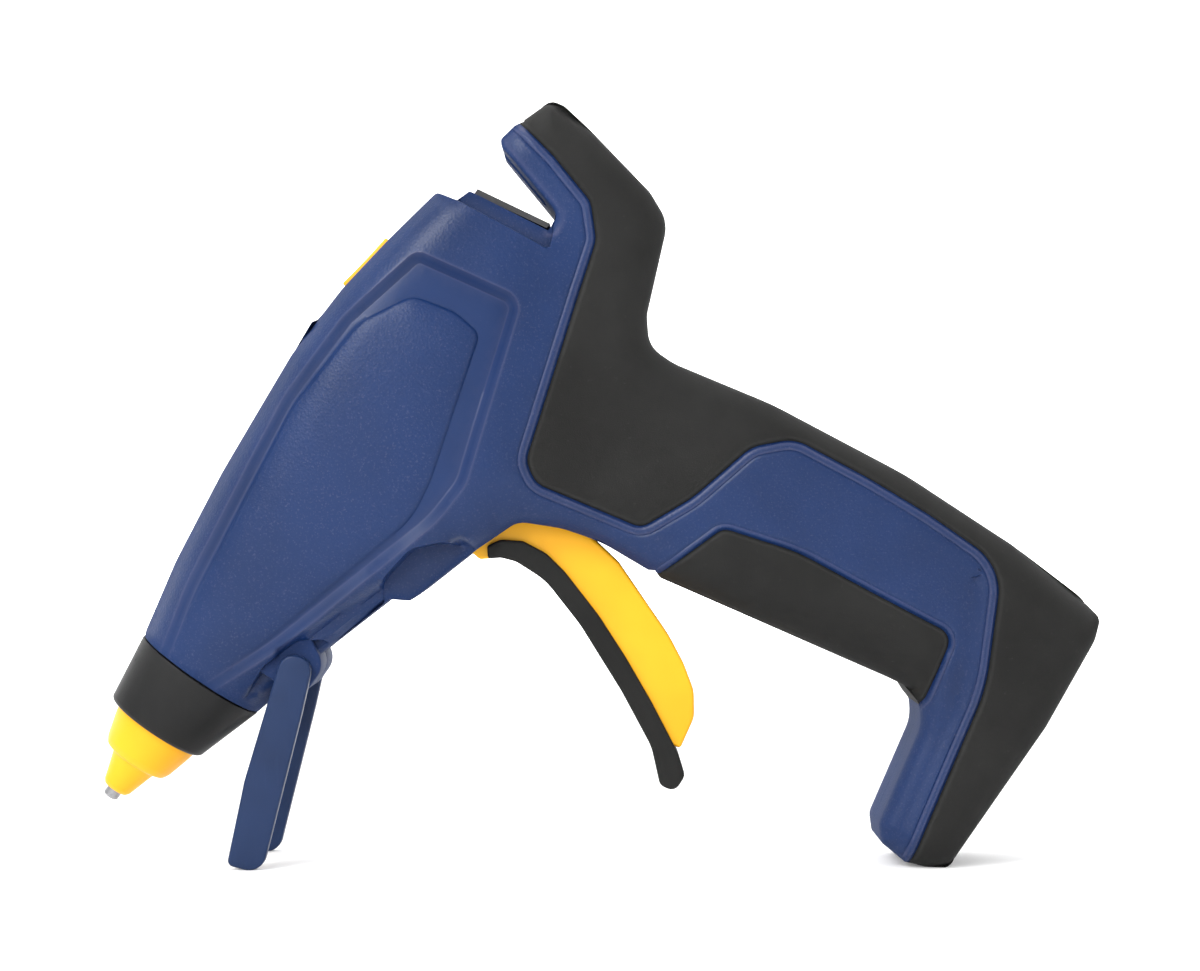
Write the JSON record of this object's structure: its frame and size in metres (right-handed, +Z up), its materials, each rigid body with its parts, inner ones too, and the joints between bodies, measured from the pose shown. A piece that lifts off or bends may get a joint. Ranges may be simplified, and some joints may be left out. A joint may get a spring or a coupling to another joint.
{
  "type": "glue gun",
  "caption": "Cordless hot-melt glue gun standing on its fold-out stand, with a sprung trigger that feeds a thin glue stick to a heated nozzle.",
  "frame": {"origin": "on the surface the gun stands on, at the middle of its box from above", "axes": "+Z up; +X from the nozzle to the handle, along the gun seen from its left side; +Y to the right side of the gun, away from the viewer of its left side"},
  "size_m": [0.2186, 0.043, 0.1668],
  "materials": {
    "housing_blue": "fine-grained satin blue plastic",
    "grip_rubber": "soft matte black rubber",
    "ring_black": "matte black heat-proof plastic",
    "sleeve_silicone": "smooth yellow silicone",
    "trigger_yellow": "satin yellow plastic",
    "nozzle_metal": "turned metal",
    "steel": "plain steel",
    "chamber_aluminium": "cast aluminium",
    "heater_ceramic": "ceramic plate",
    "sensor_glass": "epoxy-dipped bead",
    "collar_fibre": "glass-fibre collar",
    "seal_silicone": "red silicone",
    "mechanism_dark": "dark moulded nylon",
    "board_green": "lacquered circuit board",
    "switch_body": "black switch body",
    "cell_wrap": "plain blue shrink wrap",
    "cell_tabs": "nickel strip",
    "lead_red": "red insulated lead",
    "lead_pale": "pale insulated lead",
    "lead_black": "black insulated lead",
    "stand_blue": "smooth blue plastic",
    "screw_dark": "blackened steel"
  },
  "bodies": {
    "housing": {"housing_left": "housing_blue", "housing_right": "housing_blue", "grip_rear_left": "grip_rubber", "grip_rear_right": "grip_rubber", "grip_front_left": "grip_rubber", "grip_front_right": "grip_rubber", "nose_ring": "ring_black", "nozzle_sleeve": "sleeve_silicone", "nozzle_tip": "nozzle_metal", "valve_spring": "steel", "melt_chamber": "chamber_aluminium", "heater_element": "heater_ceramic", "thermal_sensor": "sensor_glass", "chamber_mount_front": "collar_fibre", "chamber_mount_rear": "collar_fibre", "inlet_sleeve": "seal_silicone", "sleeve_clamp": "steel", "return_spring": "steel", "stick_guide": "mechanism_dark", "trigger_pin": "steel", "switch_board": "board_green", "power_switch": "switch_body", "control_board": "board_green", "charge_port": "steel", "battery_cell": "cell_wrap", "battery_tabs": "cell_tabs", "battery_leads": "lead_red", "heater_leads": "lead_red", "sensor_leads": "lead_pale", "switch_leads": "lead_black", "port_leads": "lead_red", "stand_pin": "steel", "housing_screws": "screw_dark"},
    "valve": {"check_ball": "steel"},
    "carriage": {"feed_carriage": "mechanism_dark", "link_pin": "steel", "jaw_pin": "steel"},
    "jaw": {"grip_jaw": "steel"},
    "trigger": {"trigger_lever": "trigger_yellow", "trigger_pad": "grip_rubber"},
    "button": {"power_button": "trigger_yellow"},
    "stand": {"stand": "stand_blue"}
  },
  "joints": [
    {"name": "stand_fold", "type": "hinge", "parent": "housing", "child": "stand", "pos_m": [-0.06636, 0, 0.04288], "axis": [0, -1, 0], "range_deg": [0, 137]},
    {"name": "trigger_squeeze", "type": "hinge", "parent": "housing", "child": "trigger", "pos_m": [-0.02477, 0, 0.07766], "axis": [0, -1, 0], "range_deg": [0, 15], "stiffness_Nm_per_rad": 0.6, "springref_deg": -14.32},
    {"name": "carriage_feed", "type": "slide", "parent": "housing", "child": "carriage", "axis": [-0.5707, 0, -0.8211], "range_m": [0, 0.00581], "deforming": ["return_spring"]},
    {"name": "jaw_bite", "type": "hinge", "parent": "carriage", "child": "jaw", "pos_m": [-0.05412, 0, 0.10622], "axis": [0, -1, 0], "range_deg": [0, 8.1]},
    {"name": "power_button", "type": "slide", "parent": "housing", "child": "button", "axis": [0.7254, 0, -0.6884], "range_m": [0, 0.0005], "stiffness_N_per_m": 600, "springref_m": -0.001},
    {"name": "valve_lift", "type": "slide", "parent": "housing", "child": "valve", "axis": [-0.5707, 0, -0.8211], "range_m": [0, 0.0008], "stiffness_N_per_m": 60, "springref_m": -0.001, "deforming": ["valve_spring"]}
  ],
  "couplings": [
    {"joint": "carriage_feed", "follows": "trigger_squeeze", "m_per_rad": 0.022},
    {"joint": "jaw_bite", "follows": "trigger_squeeze", "ratio": 0.53333}
  ]
}
